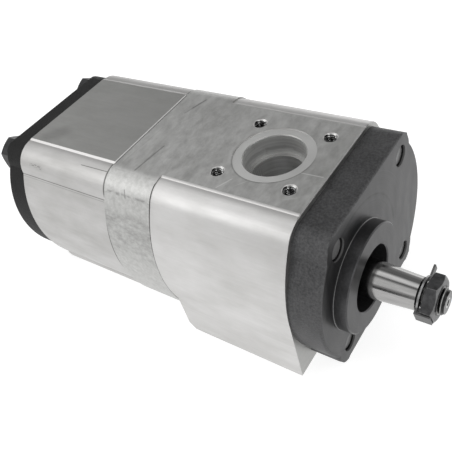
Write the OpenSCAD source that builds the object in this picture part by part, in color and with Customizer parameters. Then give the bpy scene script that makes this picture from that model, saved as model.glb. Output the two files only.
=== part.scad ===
// Tandem external gear pump: two gear sections on one shaft, with a common
// inlet on top and an outlet under each section.
// The origin is on the drive shaft's axis, in the plane of the mounting face.
// +X runs along the shaft to its driven end, +Z points to the inlet port, and
// +Y points from the drive shaft to the driven gears.

/* [Housing profile] */
// Distance between neighbouring housing bolts, the same along Y and Z
bolt_square = 60; // [58:0.5:64]
// Radius of each corner of the two bodies, about the bolt's axis
body_corner_r = 12.45; // [11.5:0.05:13.5]
// Height of the machined port faces over the corners' rounds
port_ledge = 0.4; // [0.2:0.05:0.8]
// Half width of the front body and the flange at the shaft's height
body_half_w = 51; // [50:0.25:54]
// Distance by which the rear body's sides lie inside the front body's
rear_side_in = 0.4; // [0:0.1:1]
// Radius of the rear body's bulging sides
rear_side_r = 59; // [56:0.5:64]
// Radius of each corner of the two covers, about the bolt's axis
cover_corner_r = 10.3; // [9:0.1:11.5]
// Distance by which the two covers' round sides lie inside the front body's
cover_side_in = 0.8; // [0.3:0.1:1.5]

/* [Housing lengths] */
// Thickness of the front cover, without its pilot
cover_t = 15; // [14:0.5:20]
// Length of the front body
front_body_len = 70.4; // [66:0.2:80]
// Thickness of the intermediate flange
flange_t = 28.6; // [26:0.2:34]
// Length of the rear body
rear_body_len = 62.1; // [58:0.1:72]
// Thickness of the rear cover
rear_cover_t = 14.5; // [12:0.5:18]

/* [Front cover] */
// Radius of the pilot that centres the pump in its bracket
pilot_r = 25; // [23:0.5:27]
// Height of the pilot over the mounting face
pilot_h = 6; // [4:0.5:8]
// Edge break of the pilot
pilot_chamfer = 0.5; // [0.3:0.1:1.2]
// Radius of the bore that holds the shaft seal
seal_bore_r = 15.2; // [14:0.1:16]
// Depth of the seal bore behind the mounting face
seal_bore_depth = 11; // [10:0.5:12]
// Thickness of the shaft seal
seal_t = 6; // [4:0.5:7]
// Wire thickness of the seal's retaining ring
seal_ring_t = 1.2; // [1:0.1:1.6]

/* [Ports] */
// Distance of the inlet port's centre behind the mounting face
inlet_back = 44.2; // [42:0.2:52]
// Radius of the inlet bore
inlet_r = 14.2; // [12:0.1:15]
// Depth of the inlet bore
inlet_depth = 10.8; // [6:0.2:12]
// Radius of the narrower throat under the inlet bore
inlet_throat_r = 12.3; // [10:0.1:13]
// Diameter of the circle of bolts round the inlet
inlet_pcd = 51; // [48:0.5:56]
// Outer radius of the spot face round the inlet bore
spot_face_r = 18.6; // [17:0.1:20]
// Depth of that spot face
spot_face_d = 0.3; // [0.1:0.05:0.6]
// Radius of the front outlet bore
front_outlet_r = 9.5; // [8:0.5:11]
// Diameter of the circle of bolts round the front outlet
front_outlet_pcd = 40; // [38:1:46]
// Radius of the rear outlet bore
rear_outlet_r = 7.5; // [6:0.5:9]
// Diameter of the circle of bolts round the rear outlet
rear_outlet_pcd = 35; // [33:1:42]
// Depth of both outlet bores
outlet_depth = 10; // [6:0.5:12]
// Step from each outlet bore to the channel under it
outlet_step = 1.5; // [0.5:0.25:2.5]
// Radius of the tapped holes round all ports
port_thread_r = 3; // [2.5:0.25:3.5]
// Depth of those holes
port_thread_depth = 13; // [9:0.5:14]
// Edge break at the mouths of the tapped holes
thread_mouth = 0.4; // [0.2:0.1:0.8]
// Edge break at the mouths of the port bores
port_mouth = 0.3; // [0.2:0.1:1]

/* [Outlet block] */
// Depth by which the outlet face is milled back from the other undersides
outlet_milled = 2.25; // [1:0.05:4]
// Distance of the square block under the front body from the flange
outlet_block_gap = 5.4; // [4:0.1:10]
// Narrowing of the block from the shaft's height to its lower face
outlet_block_draft = 0.9; // [0:0.1:2]
// Edge break at the block's lower rear edge
outlet_block_chamfer = 3; // [1:0.5:4]

/* [Gears] */
// Number of teeth of each gear
gear_teeth = 12; // [10:1:14]
// Distance between the axes of a drive gear and its driven gear
gear_cd = 30.5; // [30:0.1:31]
// Pressure angle of the teeth
pressure_angle = 25; // [24:1:27]
// Amount by which each tooth is thinner than half the pitch
tooth_play = 0.1; // [0.06:0.02:0.2]
// Clearance between the tooth tips and the body
tip_clearance = 0.1; // [0.05:0.05:0.3]
// Clearance between a gear's face and its bearing
face_clearance = 0.1; // [0.05:0.05:0.2]
// Radius of all journals
journal_r = 8.6; // [8:0.1:9]
// Wall of the bearing bushes
bush_wall = 1.5; // [1:0.1:2]
// Radial running clearance of the journals
running_clearance = 0.03; // [0.02:0.01:0.06]
// Radial clearance of a bearing block in its body
block_clearance = 0.05; // [0.03:0.01:0.1]
// Length of each bearing block
bearing_len = 18.2; // [16:0.2:20]

/* [Shaft end] */
// Distance before the mounting face at which the taper starts
taper_start = 4.5; // [2:0.5:5]
// Length of the taper
taper_len = 22; // [20:0.5:28]
// Bare thread between the taper's end and the tab washer, where a hub comes
hub_gap = 1; // [0.6:0.2:2.4]
// Taper of the shaft end: its change of diameter over its length
taper_ratio = 0.125; // [0.1:0.005:0.15]
// Radius of the shaft's thread
shaft_thread_r = 5.9; // [5:0.1:6]
// Length of the threaded end, from the taper to the tip
shaft_thread_len = 11.1; // [11:0.1:14]
// Width of the nut across its flats
nut_af = 18; // [16:0.5:19]
// Height of the nut
nut_h = 5.25; // [5:0.25:7]
// Angle of the nut's first corner from +Y towards +Z
nut_angle = 50; // [40:1:60]
// Radius of the tab washer's ring
washer_r = 8.4; // [8:0.1:9]
// Thickness of the tab washer's sheet
washer_t = 0.9; // [0.8:0.1:1.2]
// Space between the tab washer and the nut, which is run on by hand only
nut_gap = 1.3; // [0.1:0.1:1.5]
// Width of the tab that stands up
free_tab_w = 4; // [3:0.5:5]
// Reach of that tab beyond the washer's ring
free_tab_len = 4.9; // [3:0.1:6]
// Width of the tab that is bent over a flat of the nut
bent_tab_w = 8; // [6:0.5:9]
// Width of the shaft key
key_w = 3; // [2:0.5:4]
// Radius of the round of the half-moon key
key_disc_r = 6.5; // [6:0.25:7]
// Height of the key over the shaft's surface
key_proud = 1.4; // [1:0.1:2]

/* [Fasteners and seals] */
// Radius of the housing bolts
bolt_r = 5; // [4.5:0.25:5.5]
// Width of the bolt heads across their flats
bolt_af = 17; // [15:0.5:18]
// Height of the bolt heads
bolt_head_h = 6.4; // [5:0.2:7]
// Depth of the bolt tips below the mounting face
bolt_recess = 1.3; // [0.5:0.1:3]
// Radial clearance of the bolts in the bodies
bolt_clearance = 0.25; // [0.1:0.05:0.5]
// Radius of the dowel pins between the housing parts
dowel_r = 3; // [2:0.25:3.5]
// Length of the dowel pins
dowel_len = 12; // [8:1:14]
// Width of the rubber in the joint seals
seal_w = 2; // [1.5:0.1:2.5]
// Depth of the joint seals' grooves
seal_groove_d = 1.8; // [1.2:0.1:2.2]
// Wall between a gear chamber and its joint seal
seal_land = 1.2; // [0.8:0.1:1.5]
// Radius of the suction gallery that feeds the rear section
gallery_r = 4.75; // [4:0.25:5.25]
// Height of the suction gallery over the shaft axis
gallery_h = 30; // [30:0.25:31]
// Distance of the gallery from the housing's middle, towards the drive shaft
gallery_side = 8; // [7:0.25:9]

/* [Hidden] */
$fn = 96;

// Cut that passes a surface, and the clearance of parts that are pushed together
over = 1;
slip = 0.02;

// Housing: planes along the shaft and heights
cover_back = -cover_t;
front_body_back = cover_back - front_body_len;
flange_back = front_body_back - flange_t;
rear_body_back = flange_back - rear_body_len;
rear_cover_back = rear_body_back - rear_cover_t;
centre_y = gear_cd / 2;
half_bolt = bolt_square / 2;
outlet_block_len = front_body_len - outlet_block_gap;
rear_half_w = body_half_w - rear_side_in;
cover_side_r = body_half_w - cover_side_in;
port_face_h = half_bolt + body_corner_r + port_ledge;
outlet_face_h = port_face_h - outlet_milled;
cover_h = half_bolt + cover_corner_r;

// Side arcs of the front body and the flange. They cut a little into the corners'
// rounds, so that the two meet at a clean edge and not at a tangent
side_bite = 0.05;
side_step = half_bolt - body_half_w;
function side_r(corner_r) =
    (side_step * side_step + half_bolt * half_bolt - corner_r * corner_r) / (-2 * corner_r - 2 * side_step);
function tangent_h(corner_r) =
    half_bolt + corner_r * sin(atan2(half_bolt, half_bolt - (body_half_w - side_r(corner_r))));

// Gears
gear_module = gear_cd / gear_teeth;
tip_r = gear_module * (gear_teeth + 2) / 2;
root_r = gear_module * (gear_teeth - 2.5) / 2;
base_r = gear_cd / 2 * cos(pressure_angle);
chamber_r = tip_r + tip_clearance;
front_gear_front = cover_back - bearing_len - face_clearance;
front_gear_w = front_body_len - 2 * (bearing_len + face_clearance);
front_gear_back = front_gear_front - front_gear_w;
rear_gear_front = flange_back - bearing_len - face_clearance;
rear_gear_w = rear_body_len - 2 * (bearing_len + face_clearance);
rear_gear_back = rear_gear_front - rear_gear_w;
front_outlet_x = front_gear_front - front_gear_w / 2;
rear_outlet_x = rear_gear_front - rear_gear_w / 2;
inlet_x = -inlet_back;
bush_outer_r = journal_r + running_clearance + bush_wall;
journal_end_gap = 0.6;
// Angle by which each tooth widens from its base circle to its root
root_spread = 1.5;

// Joint seals, gallery rings and face seals
joint_seal_in = chamber_r + seal_land;
joint_seal_out = joint_seal_in + seal_w;
// Dowel pins halfway between the joint seals and the housing's sides
dowel_out = (centre_y + joint_seal_out + body_half_w) / 2;
gallery_land = 0.7;
gallery_ring_in = gallery_r + gallery_land;
gallery_ring_w = 1.8;
face_seal_w = 1.6;
face_seal_d = 1.5;
face_seal_inset = 2;
face_seal_r = chamber_r - face_seal_inset;
// Height of the face seals' ends below the gears' axes
face_seal_drop = 4;
// Radius of the duct from the suction gallery down to the rear gears
duct_step = 0.5;
duct_r = gallery_r - duct_step;
gallery_y = centre_y - gallery_side;

// Coupling between the two drive gears
spline_teeth = 10;
spline_root_r = 6.4;
spline_tip_r = 7.5;
spline_tooth_w = 2;
spline_play = 0.08;
// Space between the two splined ends, and from the coupling's ends to the bearings
spline_gap = 6;
coupling_gap = 2.5;
spline_start_gap = 1;
spline_len = (flange_t - spline_gap) / 2 - spline_start_gap;
coupling_r = 11;
coupling_len = flange_t - 2 * coupling_gap;
coupling_bore_r = coupling_r + 1;

// Shaft end
taper_end = taper_start + taper_len;
taper_end_r = journal_r - taper_len * taper_ratio / 2;
shaft_tip = taper_end + shaft_thread_len;
washer_back = taper_end + hub_gap;
nut_back = washer_back + washer_t + nut_gap;
nut_front = nut_back + nut_h;
tab_angle = nut_angle - 30;
nut_hole_play = 0.1;
// Groove at the foot of the thread
undercut_d = 0.6;
undercut_len = 1;
undercut_run = 0.4;
// Share of the taper's length at which the key lies
key_along = 0.6;
key_x = taper_start + taper_len * key_along;
key_shaft_r = journal_r - (key_x - taper_start) * taper_ratio / 2;
key_flat = key_shaft_r + key_proud;
key_disc_gap = 1.5;
shaft_hole_play = 0.7;

// Seal's retaining ring: depth of its groove, reach into it and width beyond the bore
ring_groove_d = 0.7;
ring_reach = 0.5;
ring_inner_w = 1.6;
seal_ring_front = -seal_bore_depth + seal_t + 2 * slip + seal_ring_t;

// Height over width of the turned corners of nut and bolt heads
hex_turn_slope = 0.6;
// Height over width of the edge break at the outlet block's rear edge
block_break_slope = 1.5;

// A prism of the 2D shape, whose x and y become Y and Z, from x0 forward
module along_x(x0, len) {
    translate([x0, 0, 0]) rotate([90, 0, 90]) linear_extrude(len) children();
}

// A round bar or hole along X, with its rear end at x0
module bar_x(x0, len, r, y = 0, z = 0) {
    translate([x0, y, z]) rotate([0, 90, 0]) cylinder(h = len, r = r);
}

// A cone along X from radius r1 at x0 to r2
module cone_x(x0, len, r1, r2, y = 0, z = 0) {
    translate([x0, y, z]) rotate([0, 90, 0]) cylinder(h = len, r1 = r1, r2 = r2);
}

// Places its child at the profile's centre
module centred() {
    translate([centre_y, 0]) children();
}

// Repeats its child at the four housing bolts
module at_bolts() {
    for (side = [-1, 1]) for (level = [-1, 1])
        translate([0, centre_y + side * half_bolt, level * half_bolt]) children();
}

// Housing outlines, about the profile's centre
module corner_rounds(r) {
    for (side = [-1, 1]) for (level = [-1, 1])
        translate([side * half_bolt, level * half_bolt]) circle(r);
}

module bulging_sides(half_w, r, h) {
    for (side = [-1, 1]) intersection() {
        translate([side * (half_w - r), 0]) circle(r, $fn = 240);
        translate([side * half_w / 2, 0]) square([half_w + 2 * over, 2 * h], center = true);
    }
}

module barrel_outline(corner_r, top) {
    arc_touch_r = corner_r - side_bite;
    corner_rounds(corner_r);
    bulging_sides(body_half_w, side_r(arc_touch_r), tangent_h(arc_touch_r));
    square([bolt_square, 2 * top], center = true);
}

module rear_outline() {
    corner_rounds(body_corner_r);
    bulging_sides(rear_half_w, rear_side_r, half_bolt + body_corner_r / 2);
    square([bolt_square, 2 * port_face_h], center = true);
}

module cover_outline(inset = 0) {
    corner_rounds(cover_corner_r - inset);
    intersection() {
        circle(cover_side_r - inset, $fn = 240);
        square([3 * half_bolt + cover_side_r, 2 * half_bolt + cover_corner_r], center = true);
    }
    square([bolt_square, 2 * (cover_h - inset)], center = true);
}

// The two overlapping bores of a gear section
module twin_round(r) {
    for (side = [-1, 1]) translate([side * gear_cd / 2, 0]) circle(r);
}

module racetrack(r) {
    twin_round(r);
    square([gear_cd, 2 * r], center = true);
}

module joint_seal_outline(play = 0) {
    difference() {
        racetrack(joint_seal_out + play);
        racetrack(joint_seal_in - play);
    }
}

module gallery_ring_outline(play = 0) {
    translate([-gallery_side, gallery_h]) difference() {
        circle(gallery_ring_in + gallery_ring_w + play);
        circle(gallery_ring_in - play);
    }
}

module bolt_holes(x0, len, r) {
    at_bolts() bar_x(x0, len, r);
}

// Half a dowel's hole on each side of the joint at x
module dowel_holes(x) {
    for (side = [-1, 1])
        bar_x(x - dowel_len / 2 - slip, dowel_len + 2 * slip, dowel_r + slip, centre_y + side * dowel_out);
}

// A port in a face at height h, with up = 1 for the top and -1 for the underside
module port(x, h, up, bore_r, depth, throat_r, pcd, spot_d = 0) {
    mouth_h = h - spot_d;
    translate([x, centre_y, 0]) mirror([0, 0, up > 0 ? 0 : 1]) {
        translate([0, 0, h - depth]) cylinder(h = depth + over, r = bore_r);
        translate([0, 0, mouth_h - port_mouth])
            cylinder(h = port_mouth, r1 = bore_r, r2 = bore_r + port_mouth);
        cylinder(h = h, r = throat_r);
        if (spot_d > 0) translate([0, 0, mouth_h]) cylinder(h = over, r = spot_face_r);
        for (turn = [45 : 90 : 315]) rotate(turn) translate([pcd / 2, 0, 0]) {
            translate([0, 0, h - port_thread_depth]) cylinder(h = port_thread_depth + over, r = port_thread_r);
            translate([0, 0, h - thread_mouth])
                cylinder(h = thread_mouth, r1 = port_thread_r, r2 = port_thread_r + thread_mouth);
        }
    }
}

module front_cover() {
    color([0.22, 0.22, 0.23]) difference() {
        union() {
            along_x(cover_back, cover_t) centred() cover_outline();
            bar_x(-over, over + pilot_h - pilot_chamfer, pilot_r);
            cone_x(pilot_h - pilot_chamfer, pilot_chamfer, pilot_r, pilot_r - pilot_chamfer);
        }
        bar_x(-seal_bore_depth, seal_bore_depth + pilot_h + over, seal_bore_r);
        cone_x(pilot_h - pilot_chamfer, pilot_chamfer + slip, seal_bore_r, seal_bore_r + pilot_chamfer + slip);
        bar_x(cover_back - over, cover_t + over, journal_r + shaft_hole_play);
        bar_x(seal_ring_front - seal_ring_t - slip, seal_ring_t + 2 * slip, seal_bore_r + ring_groove_d);
        bolt_holes(cover_back - over, cover_t + 2 * over, bolt_r + slip);
        dowel_holes(cover_back);
        along_x(cover_back - over, over + seal_groove_d) centred() joint_seal_outline(slip);
    }
}

// The square block under the front body, with the edge break at its lower rear edge
module outlet_block() {
    block_back = cover_back - outlet_block_len;
    foot_w = body_half_w - outlet_block_draft;
    break_h = outlet_block_chamfer * block_break_slope;
    difference() {
        along_x(block_back, outlet_block_len) centred()
            polygon([[-body_half_w, 0], [body_half_w, 0], [foot_w, -outlet_face_h], [-foot_w, -outlet_face_h]]);
        translate([block_back, centre_y - body_half_w - over, -outlet_face_h]) rotate([-90, 0, 0])
            linear_extrude(2 * body_half_w + 2 * over)
            polygon([[-over, over], [-over, -break_h], [0, -break_h], [outlet_block_chamfer, 0],
                     [outlet_block_chamfer, over]]);
    }
}

module front_body() {
    color([0.72, 0.72, 0.72]) difference() {
        union() {
            along_x(front_body_back, front_body_len) centred() barrel_outline(body_corner_r, port_face_h);
            outlet_block();
        }
        translate([cover_back - outlet_block_len, centre_y - body_half_w, -port_face_h - over])
            cube([outlet_block_len + over, 2 * body_half_w, port_face_h + over - outlet_face_h]);
        along_x(front_body_back - over, front_body_len + 2 * over) centred() twin_round(chamber_r);
        bolt_holes(front_body_back - over, front_body_len + 2 * over, bolt_r + bolt_clearance);
        dowel_holes(cover_back);
        dowel_holes(front_body_back);
        port(inlet_x, port_face_h, 1, inlet_r, inlet_depth, inlet_throat_r, inlet_pcd, spot_face_d);
        port(front_outlet_x, outlet_face_h, -1, front_outlet_r, outlet_depth, front_outlet_r - outlet_step,
             front_outlet_pcd);
        bar_x(front_body_back - over, inlet_x - inlet_throat_r / 2 - front_body_back + over, gallery_r, gallery_y,
              gallery_h);
    }
}

module intermediate_flange() {
    color([0.6, 0.6, 0.6]) difference() {
        along_x(flange_back, flange_t) centred()
            barrel_outline(body_corner_r + port_ledge, port_face_h);
        bar_x(flange_back - over, flange_t + 2 * over, coupling_bore_r);
        bar_x(flange_back - over, flange_t + 2 * over, gallery_r, gallery_y, gallery_h);
        bolt_holes(flange_back - over, flange_t + 2 * over, bolt_r + bolt_clearance);
        dowel_holes(front_body_back);
        dowel_holes(flange_back);
        for (x0 = [flange_back - over, front_body_back - seal_groove_d])
            along_x(x0, over + seal_groove_d) centred() {
                joint_seal_outline(slip);
                gallery_ring_outline(slip);
            }
    }
}

module rear_body() {
    color([0.72, 0.72, 0.72]) difference() {
        along_x(rear_body_back, rear_body_len) centred() rear_outline();
        along_x(rear_body_back - over, rear_body_len + 2 * over) centred() twin_round(chamber_r);
        bolt_holes(rear_body_back - over, rear_body_len + 2 * over, bolt_r + bolt_clearance);
        dowel_holes(flange_back);
        dowel_holes(rear_body_back);
        port(rear_outlet_x, port_face_h, -1, rear_outlet_r, outlet_depth, rear_outlet_r - outlet_step, rear_outlet_pcd);
        bar_x(rear_outlet_x, flange_back - rear_outlet_x + over, gallery_r, gallery_y, gallery_h);
        translate([rear_outlet_x, gallery_y, 0]) cylinder(h = gallery_h, r = duct_r);
    }
}

module rear_cover() {
    color([0.13, 0.13, 0.14]) difference() {
        along_x(rear_cover_back, rear_cover_t) centred() cover_outline();
        bolt_holes(rear_cover_back - over, rear_cover_t + 2 * over, bolt_r + bolt_clearance);
        dowel_holes(rear_body_back);
        along_x(rear_body_back - seal_groove_d, over + seal_groove_d) centred() joint_seal_outline(slip);
    }
}

// A hexagon prism along X with both ends turned off at its corners
module turned_hex(x0, h, af, break_front, break_back) {
    corner_r = af / sqrt(3);
    intersection() {
        translate([x0, 0, 0]) rotate([0, 90, 0]) cylinder(h = h, r = corner_r, $fn = 6);
        rotate([0, 90, 0]) rotate_extrude() polygon([
            [0, x0], [corner_r - break_back, x0], [corner_r + slip, x0 + break_back * hex_turn_slope],
            [corner_r + slip, x0 + h - break_front * hex_turn_slope], [corner_r - break_front, x0 + h], [0, x0 + h]]);
    }
}

module housing_bolts() {
    tip = -bolt_recess;
    tip_break = 0.8;
    seat_break = 0.1;
    head_break = 1.4;
    color([0.15, 0.15, 0.16]) at_bolts() {
        turned_hex(rear_cover_back - bolt_head_h, bolt_head_h, bolt_af, seat_break, head_break);
        bar_x(rear_cover_back - over, tip - tip_break - rear_cover_back + over, bolt_r);
        cone_x(tip - tip_break, tip_break, bolt_r, bolt_r - tip_break);
    }
}

module dowel_pins() {
    color([0.6, 0.6, 0.62])
        for (x = [cover_back, front_body_back, flange_back, rear_body_back]) for (side = [-1, 1])
            bar_x(x - dowel_len / 2, dowel_len, dowel_r, centre_y + side * dowel_out);
}

module shaft_seal() {
    lip_t = 1;
    case_wall = 2.2;
    lip_wall = 1.3;
    color([0.05, 0.05, 0.05]) difference() {
        bar_x(-seal_bore_depth + slip, seal_t, seal_bore_r - slip);
        bar_x(-seal_bore_depth - over, seal_t + 2 * over, journal_r + running_clearance);
        along_x(-seal_bore_depth + slip + lip_t, seal_t) difference() {
            circle(seal_bore_r - case_wall);
            circle(journal_r + lip_wall);
        }
    }
}

module seal_retaining_ring() {
    gap_w = 6;
    color([0.3, 0.3, 0.32]) difference() {
        bar_x(seal_ring_front - seal_ring_t, seal_ring_t, seal_bore_r + ring_reach);
        bar_x(seal_ring_front - seal_ring_t - over, seal_ring_t + 2 * over, seal_bore_r - ring_inner_w);
        translate([seal_ring_front - seal_ring_t - over, -gap_w / 2, -seal_bore_r - over])
            cube([seal_ring_t + 2 * over, gap_w, seal_bore_r]);
    }
}

module joint_seal(x0) {
    color([0.08, 0.08, 0.08]) along_x(x0, seal_groove_d) centred() joint_seal_outline();
}

module gallery_o_rings() {
    color([0.08, 0.08, 0.08])
        for (x0 = [flange_back, front_body_back - seal_groove_d])
            along_x(x0, seal_groove_d) centred() gallery_ring_outline();
}

// Outline of the seal that holds the pressure off the outer half of a bearing block
module face_seal_outline(play = 0) {
    intersection() {
        difference() {
            twin_round(face_seal_r + face_seal_w / 2 + play);
            twin_round(face_seal_r - face_seal_w / 2 - play);
        }
        translate([-gear_cd - chamber_r, -chamber_r - over])
            square([2 * (gear_cd + chamber_r), chamber_r + over - face_seal_drop + play]);
    }
}

// A bearing block from x0 forward, with its seal groove at the end away from the gears
module bearing_block(x0, seal_at_front) {
    groove_x = seal_at_front ? x0 + bearing_len - face_seal_d : x0 - over;
    color([0.66, 0.66, 0.64]) difference() {
        along_x(x0, bearing_len) centred() twin_round(chamber_r - block_clearance);
        for (y = [0, gear_cd]) bar_x(x0 - over, bearing_len + 2 * over, bush_outer_r + slip, y);
        along_x(groove_x, face_seal_d + over) centred() face_seal_outline(slip);
    }
}

module bushes(x_list) {
    color([0.55, 0.4, 0.2])
        for (x0 = x_list) for (y = [0, gear_cd]) difference() {
            bar_x(x0, bearing_len, bush_outer_r, y);
            bar_x(x0 - over, bearing_len + 2 * over, journal_r + running_clearance, y);
        }
}

front_section_blocks = [cover_back - bearing_len, front_body_back];
rear_section_blocks = [flange_back - bearing_len, rear_body_back];

module bearing_face_seals() {
    color([0.1, 0.1, 0.1])
        for (x0 = [cover_back - face_seal_d, front_body_back, flange_back - face_seal_d, rear_body_back])
            along_x(x0, face_seal_d) centred() face_seal_outline();
}

// Involute teeth: half the angle that a tooth spans at radius r
function inv(angle) = tan(angle) * 180 / PI - angle;
function half_tooth(r) =
    90 / gear_teeth + inv(pressure_angle) - inv(acos(base_r / max(r, base_r)))
    - tooth_play / gear_cd * 180 / PI;
function polar(r, angle) = [r * cos(angle), r * sin(angle)];

flank_steps = 7;
flank_radii = [for (i = [0 : flank_steps]) base_r + (tip_r - base_r) * i / flank_steps];

module gear_outline(phase) {
    pitch = 360 / gear_teeth;
    root_half = half_tooth(base_r);
    polygon([for (tooth = [0 : gear_teeth - 1]) let (mid = phase + tooth * pitch) each concat(
        [polar(root_r, mid - root_half - root_spread)],
        [for (r = flank_radii) polar(r, mid - half_tooth(r))],
        [for (i = [flank_steps : -1 : 0]) polar(flank_radii[i], mid + half_tooth(flank_radii[i]))],
        [polar(root_r, mid + root_half + root_spread)])]);
}

// Splined end of a shaft, or with play the bore that takes it
module spline_outline(play = 0) {
    circle(spline_root_r + play);
    for (turn = [0 : 360 / spline_teeth : 359]) rotate(turn)
        translate([0, -spline_tooth_w / 2 - play])
        square([spline_tip_r + play, spline_tooth_w + 2 * play]);
}

module key_seat(play) {
    translate([key_x, 0, -key_flat - key_disc_gap]) rotate([90, 0, 0])
        cylinder(h = key_w + 2 * play, r = key_disc_r + play, center = true);
}

module front_drive_gear() {
    spline_start = front_body_back - spline_start_gap;
    centre_hole_r = 1.6;
    centre_hole_tip_r = 0.2;
    centre_hole_d = 3;
    tip_break = 1;
    undercut_end = taper_end + undercut_len;
    color([0.68, 0.68, 0.7]) difference() {
        union() {
            along_x(front_gear_back, front_gear_w) gear_outline(0);
            rotate([0, 90, 0]) rotate_extrude() polygon([
                [0, spline_start], [journal_r, spline_start], [journal_r, taper_start],
                [taper_end_r, taper_end], [shaft_thread_r - undercut_d, taper_end],
                [shaft_thread_r - undercut_d, undercut_end], [shaft_thread_r, undercut_end + undercut_run],
                [shaft_thread_r, shaft_tip - tip_break], [shaft_thread_r - tip_break, shaft_tip],
                [0, shaft_tip]]);
            along_x(spline_start - spline_len, spline_len + over) spline_outline();
        }
        cone_x(shaft_tip - centre_hole_d, centre_hole_d + slip, centre_hole_tip_r, centre_hole_r);
        key_seat(slip);
    }
}

module front_driven_gear() {
    color([0.68, 0.68, 0.7]) translate([0, gear_cd, 0]) {
        along_x(front_gear_back, front_gear_w) gear_outline(180 / gear_teeth);
        bar_x(front_body_back + journal_end_gap, front_body_len - 2 * journal_end_gap, journal_r);
    }
}

module shaft_coupling() {
    color([0.45, 0.45, 0.47]) difference() {
        bar_x(flange_back + (flange_t - coupling_len) / 2, coupling_len, coupling_r);
        along_x(flange_back - over, flange_t + 2 * over) spline_outline(spline_play);
    }
}

module rear_drive_gear() {
    spline_start = flange_back + spline_start_gap;
    color([0.68, 0.68, 0.7]) {
        along_x(rear_gear_back, rear_gear_w) gear_outline(0);
        bar_x(rear_body_back + journal_end_gap, spline_start - rear_body_back - journal_end_gap, journal_r);
        along_x(spline_start - over, spline_len + over) spline_outline();
    }
}

module rear_driven_gear() {
    color([0.68, 0.68, 0.7]) translate([0, gear_cd, 0]) {
        along_x(rear_gear_back, rear_gear_w) gear_outline(180 / gear_teeth);
        bar_x(rear_body_back + journal_end_gap, rear_body_len - 2 * journal_end_gap, journal_r);
    }
}

module shaft_key() {
    color([0.5, 0.5, 0.52]) intersection() {
        key_seat(0);
        translate([key_x - 2 * key_disc_r, -key_w, -key_flat])
            cube([4 * key_disc_r, 2 * key_w, key_flat]);
    }
}

// Sheet ring with one tab that stands up and one bent over a flat of the nut
module tab_washer() {
    flat_r = nut_af / 2 + slip;
    tab_share = 0.85;
    tab_end = nut_back + nut_h * tab_share;
    color([0.75, 0.75, 0.76]) {
        along_x(washer_back, washer_t) difference() {
            union() {
                circle(washer_r);
                rotate(tab_angle) translate([0, -free_tab_w / 2])
                    square([washer_r + free_tab_len, free_tab_w]);
                rotate(tab_angle + 180) translate([0, -bent_tab_w / 2])
                    square([flat_r + washer_t, bent_tab_w]);
            }
            circle(shaft_thread_r + nut_hole_play);
        }
        rotate([tab_angle + 180, 0, 0]) translate([washer_back, flat_r, -bent_tab_w / 2])
            cube([tab_end - washer_back, washer_t, bent_tab_w]);
    }
}

module shaft_nut() {
    hole_r = shaft_thread_r + nut_hole_play;
    hole_break = 0.8;
    outer_break = 1.7;
    inner_break = 0.8;
    color([0.16, 0.16, 0.17]) difference() {
        rotate([nut_angle - 90, 0, 0]) turned_hex(nut_back, nut_h, nut_af, outer_break, inner_break);
        bar_x(nut_back - over, nut_h + 2 * over, hole_r);
        cone_x(nut_front - hole_break, hole_break + slip, hole_r, hole_r + hole_break);
    }
}

front_cover();
front_body();
intermediate_flange();
rear_body();
rear_cover();
housing_bolts();
dowel_pins();
shaft_seal();
seal_retaining_ring();
joint_seal(cover_back);  // front_cover_joint_seal
joint_seal(front_body_back - seal_groove_d);  // flange_front_joint_seal
joint_seal(flange_back);  // flange_rear_joint_seal
joint_seal(rear_body_back - seal_groove_d);  // rear_cover_joint_seal
gallery_o_rings();
bearing_block(front_section_blocks[0], true);  // front_section_front_bearing
bearing_block(front_section_blocks[1], false);  // front_section_rear_bearing
bearing_block(rear_section_blocks[0], true);  // rear_section_front_bearing
bearing_block(rear_section_blocks[1], false);  // rear_section_rear_bearing
bushes(front_section_blocks);  // front_section_bushes
bushes(rear_section_blocks);  // rear_section_bushes
bearing_face_seals();
front_drive_gear();
front_driven_gear();
shaft_coupling();
rear_drive_gear();
rear_driven_gear();
shaft_key();
tab_washer();
shaft_nut();
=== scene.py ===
from math import cos, hypot, pi, radians, sin, sqrt

import bmesh
import bpy
from mathutils import Matrix, Vector


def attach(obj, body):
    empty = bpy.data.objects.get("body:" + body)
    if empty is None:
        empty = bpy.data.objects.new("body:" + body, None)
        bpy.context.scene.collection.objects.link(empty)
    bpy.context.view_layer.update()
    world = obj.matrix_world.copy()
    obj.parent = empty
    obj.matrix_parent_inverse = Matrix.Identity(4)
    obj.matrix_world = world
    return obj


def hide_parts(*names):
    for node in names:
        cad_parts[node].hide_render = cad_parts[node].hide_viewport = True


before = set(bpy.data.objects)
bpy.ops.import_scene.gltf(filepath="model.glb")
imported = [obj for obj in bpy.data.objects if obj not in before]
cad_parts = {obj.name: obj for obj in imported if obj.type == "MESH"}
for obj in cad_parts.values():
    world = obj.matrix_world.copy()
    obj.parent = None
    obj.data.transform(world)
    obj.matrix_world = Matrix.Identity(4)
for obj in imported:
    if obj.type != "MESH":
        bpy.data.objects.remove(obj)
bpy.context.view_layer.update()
scene = bpy.context.scene
scene.view_settings.view_transform = "Standard"
mm = 0.001

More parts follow.
